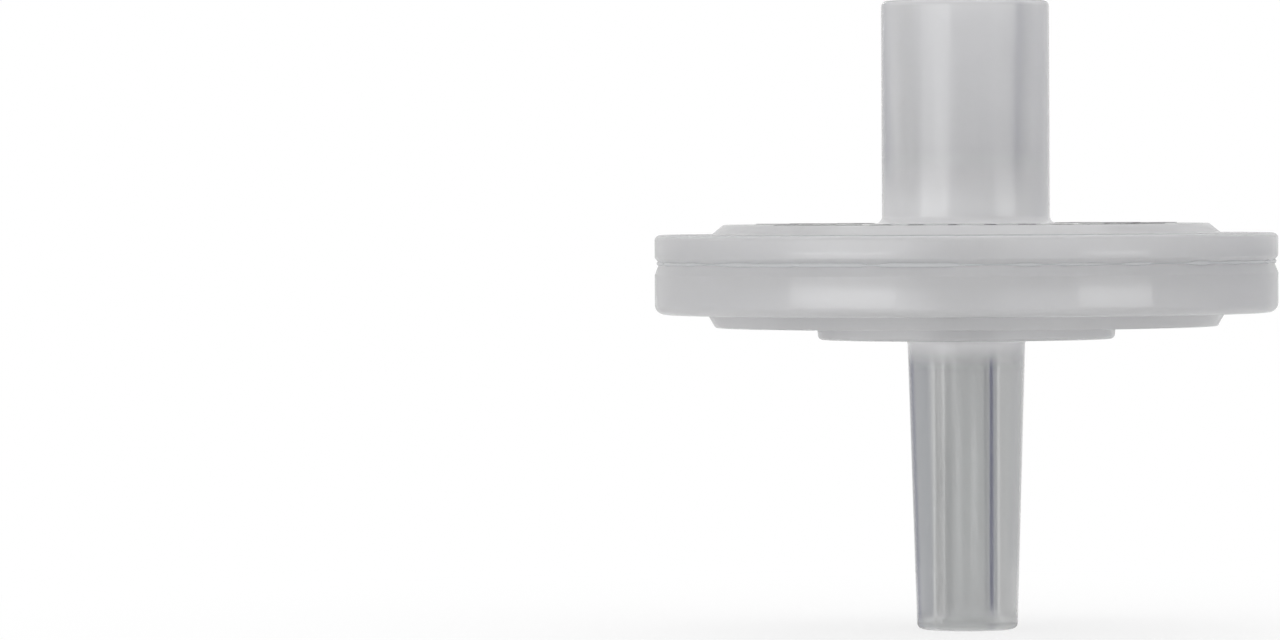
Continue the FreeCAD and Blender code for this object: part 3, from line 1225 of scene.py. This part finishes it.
@dataclass(frozen=True)
class Studio:
    """Pale floor, soft lights, white surroundings and the camera."""

    floor_colour: str = "#FCFCFC"
    floor_r: float = 2.0  # metres
    floor_segments: int = 96
    floor_glow: float = 0.75  # how far the paper is lifted to white near the filter, where its shadow stays
    near_floor: Span = (0.016, 0.05)  # metres: the floor's own shade gives way to plain white
    under_tip: Span = (0.0019, 0.0021)  # metres: light also comes up inside the tip's own outline
    sweep_level: float = 0.80  # light from the sweep behind the filter, against a white of 1
    front_level: float = 0.725  # light from the room behind the camera
    sky_level: float = 0.92  # light from above
    sweep_edge: Span = (-0.3, 0.2)  # of a direction's Y, from the room to the sweep
    sky_edge: Span = (0.3, 0.8)  # of a direction's Z, from the sides to the sky
    flags: tuple[Flag, ...] = (
        Flag(azimuth=26, half_width=(11, 18), colour="#0C1A6A"),  # draws the dark lines in hub and outlet
        Flag(azimuth=49, half_width=(8, 18), colour="#BABCC2"),
        Flag(azimuth=134, half_width=(0, 40), colour="#D0D0D0"),
    )
    flag_upright: float = 0.4  # of a direction's Z, so that flags are taller than wide
    flag_gloss: float = 0.35  # how far the flags show by reflection, against 1 through the plastic
    softboxes: tuple[Softbox, ...] = (
        Softbox("left_softbox", azimuth=-131, elevation=8, size=(0.36, 0.22), radiance=0.9),
        Softbox("left_strip", azimuth=-136, elevation=-0.75, size=(0.34, 0.0168), radiance=4.0),
        Softbox("right_strip", azimuth=-34, elevation=-0.75, size=(0.24, 0.0168), radiance=3.9),
        Softbox("top_softbox", azimuth=90, elevation=72, size=(0.40, 0.40), radiance=0.9, distance=0.50),
    )
    aim_z: float = 0.014  # metres, the height that the lights point at
    camera_distance: float = 0.330
    camera_height: float = 17.6  # mm, a little above the face
    clip: Span = (0.01, 10.0)  # metres from the camera
    lens: float = 231.0
    sensor: float = 36.0
    yaw: float = 2.275  # degrees that the camera looks to the left of the filter
    pitch: float = 0.89
    roll: float = 0.265

    def build(self) -> None:
        """Makes the floor, lights, surroundings and camera."""
        self.floor()
        self.surroundings()
        for softbox in self.softboxes:
            softbox.build(Vector((0, 0, self.aim_z)))
        self.camera()
        bpy.context.scene.view_settings.view_transform = "Standard"

    def floor(self) -> Object:
        """Makes the floor that the filter stands on.

        Returns:
            The floor.
        """
        body = bmesh.new()
        bmesh.ops.create_circle(body, cap_ends=True, segments=self.floor_segments, radius=self.floor_r)
        floor = new_piece("floor", body, self.paper())
        return floor

    def paper(self) -> Material:
        """Makes the floor's white paper with the filter's shadow, which runs out into plain white.

        It is clear from below. Away from the filter and inside the tip's outline, the light of the
        surroundings comes up through it.

        Returns:
            The material.
        """
        material, tree = new_material("white_sweep_paper")
        add = partial(add_node, tree)
        place = add("ShaderNodeTexCoord").outputs["Object"]
        away = add("ShaderNodeVectorMath", {0: place}, operation="LENGTH")
        far = add("ShaderNodeMapRange", {
            "Value": away, "From Min": self.near_floor[0], "From Max": self.near_floor[1],
        }, interpolation_type="SMOOTHSTEP")
        under = add("ShaderNodeMapRange", {
            "Value": away, "From Min": self.under_tip[0], "From Max": self.under_tip[1],
            "To Min": 1.0, "To Max": 0.0,
        })
        seen = add("ShaderNodeLightPath").outputs["Is Camera Ray"]
        faded = add("ShaderNodeMapRange", {"Value": far, "To Min": self.floor_glow})
        white = add("ShaderNodeMath", {0: faded, 1: seen}, operation="MULTIPLY")
        paper = add("ShaderNodeBsdfDiffuse", {"Color": linear(self.floor_colour)})
        glow = add("ShaderNodeEmission", {"Color": WHITE, "Strength": 1.0})
        lit = add("ShaderNodeMixShader", {0: white, 1: paper, 2: glow})
        passes = add("ShaderNodeMath", {0: far, 1: under}, operation="MAXIMUM")
        unseen = add("ShaderNodeMath", {0: passes, 1: seen}, operation="SUBTRACT", use_clamp=True)
        below = add("ShaderNodeNewGeometry").outputs["Backfacing"]
        open_to = add("ShaderNodeMath", {0: unseen, 1: below}, operation="MAXIMUM")
        clear = add("ShaderNodeBsdfTransparent")
        shader = add("ShaderNodeMixShader", {0: open_to, 1: lit, 2: clear})
        add("ShaderNodeOutputMaterial", {"Surface": shader})
        return material

    def surroundings(self) -> None:
        """Makes the world: white for the camera, and a sweep, a dimmer room and flags for all other rays."""
        world = bpy.data.worlds.new("studio")
        world.use_nodes = True
        tree = world.node_tree
        add = partial(add_node, tree)
        tree.nodes.clear()
        rays = add("ShaderNodeLightPath").outputs
        direction = add("ShaderNodeTexCoord").outputs["Generated"]
        axes = add("ShaderNodeSeparateXYZ", {0: direction}).outputs
        room = add("ShaderNodeMapRange", {
            "Value": axes["Y"], "From Min": self.sweep_edge[0], "From Max": self.sweep_edge[1],
            "To Min": self.front_level, "To Max": self.sweep_level,
        }, interpolation_type="SMOOTHSTEP")
        above = add("ShaderNodeMapRange", {
            "Value": axes["Z"], "From Min": self.sky_edge[0], "From Max": self.sky_edge[1],
            "To Max": self.sky_level,
        }, interpolation_type="SMOOTHSTEP")
        around = add("ShaderNodeMath", {0: room, 1: above}, operation="MAXIMUM")
        level = add("ShaderNodeMath", {0: around, 1: rays["Is Camera Ray"]}, operation="MAXIMUM")
        colour = self.flagged_white(tree, direction, rays)
        glow = add("ShaderNodeBackground", {"Color": colour, "Strength": level})
        add("ShaderNodeOutputWorld", {"Surface": glow})
        bpy.context.scene.world = world

    def flagged_white(self, tree: NodeTree, direction: NodeSocket,
                      rays: NodeOutputs) -> Source | tuple[float, ...]:
        """Adds the flags to white surroundings, for all rays but the camera's.

        Args:
            tree: the world's tree.
            direction: the way that a ray goes.
            rays: the kinds of ray.

        Returns:
            What gives the colour.
        """
        add = partial(add_node, tree)
        upright = add("ShaderNodeVectorMath", {
            0: direction, 1: (1.0, 1.0, self.flag_upright),
        }, operation="MULTIPLY")
        aimed = add("ShaderNodeVectorMath", {0: upright}, operation="NORMALIZE")
        seen = rays["Is Camera Ray"]
        shown = add("ShaderNodeMapRange", {"Value": rays["Is Transmission Ray"], "To Min": self.flag_gloss})
        colour = WHITE
        for flag in self.flags:
            middle = math.radians(flag.azimuth)
            inner, outer = (math.cos(math.radians(a)) for a in flag.half_width)
            facing = add("ShaderNodeVectorMath", {
                0: aimed, 1: (math.cos(middle), math.sin(middle), 0.0),
            }, operation="DOT_PRODUCT")
            panel = add("ShaderNodeMapRange", {
                "Value": facing, "From Min": outer, "From Max": inner,
            }, interpolation_type="SMOOTHSTEP")
            share = add("ShaderNodeMath", {0: panel, 1: shown}, operation="MULTIPLY")
            hidden = add("ShaderNodeMath", {0: share, 1: seen}, operation="SUBTRACT", use_clamp=True)
            colour = add("ShaderNodeMix", {
                "Factor": hidden, "A": colour, "B": linear(flag.colour),
            }, data_type="RGBA")
        return colour

    def camera(self) -> Object:
        """Makes the camera, level with the disc, with the filter in the right half of its view.

        Returns:
            The camera, which the scene uses.
        """
        data = bpy.data.cameras.new("camera")
        data.lens, data.sensor_width = self.lens, self.sensor
        data.clip_start, data.clip_end = self.clip
        camera = add_object("camera", data)
        camera.location = (0, -self.camera_distance, self.camera_height * MM)
        level = Matrix.Rotation(math.radians(90 - self.pitch), 4, "X")
        turn = Matrix.Rotation(math.radians(self.yaw), 4, "Z")
        lean = Matrix.Rotation(math.radians(-self.roll), 4, "Z")
        camera.rotation_euler = (turn @ level @ lean).to_euler()
        bpy.context.scene.camera = camera
        return camera


# ---- The whole filter ---------------------------------------------------------------------------

def main() -> None:
    """Builds every piece, dresses it and sets the studio."""
    logging.basicConfig(level=logging.INFO, format="%(name)s: %(message)s")
    levels = FilterLevels()
    repeat = repeater()
    inlet = InletHousing(levels)
    outlet = OutletHousing(levels)
    plastic = MilkyPolypropylene().build()
    for part, node in ((inlet, "inlet_housing"), (outlet, "outlet_housing")):
        shell = part.build(repeat, plastic)
        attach(shell, BODY)
        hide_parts(node)
        log.info("%s stands for %s: %d faces", shell.name, node, len(shell.data.polygons))
    membrane = frame["nodes"]["filter_membrane"]
    membrane.data.materials.clear()
    membrane.data.materials.append(PorousPolyester().build())
    log.info("%s dressed", membrane.name)
    flash = WeldFlash(levels).build(WhitenedPolypropylene().build())
    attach(flash, BODY)
    log.info("%s: %d faces", flash.name, len(flash.data.polygons))
    for marks in FacePrint(inlet.face_z).build(repeat, PadPrintInk().build()):
        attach(marks, BODY)
        log.info("%s: %d faces", marks.name, len(marks.data.polygons))
    Studio().build()


if __name__ == "__main__":
    main()
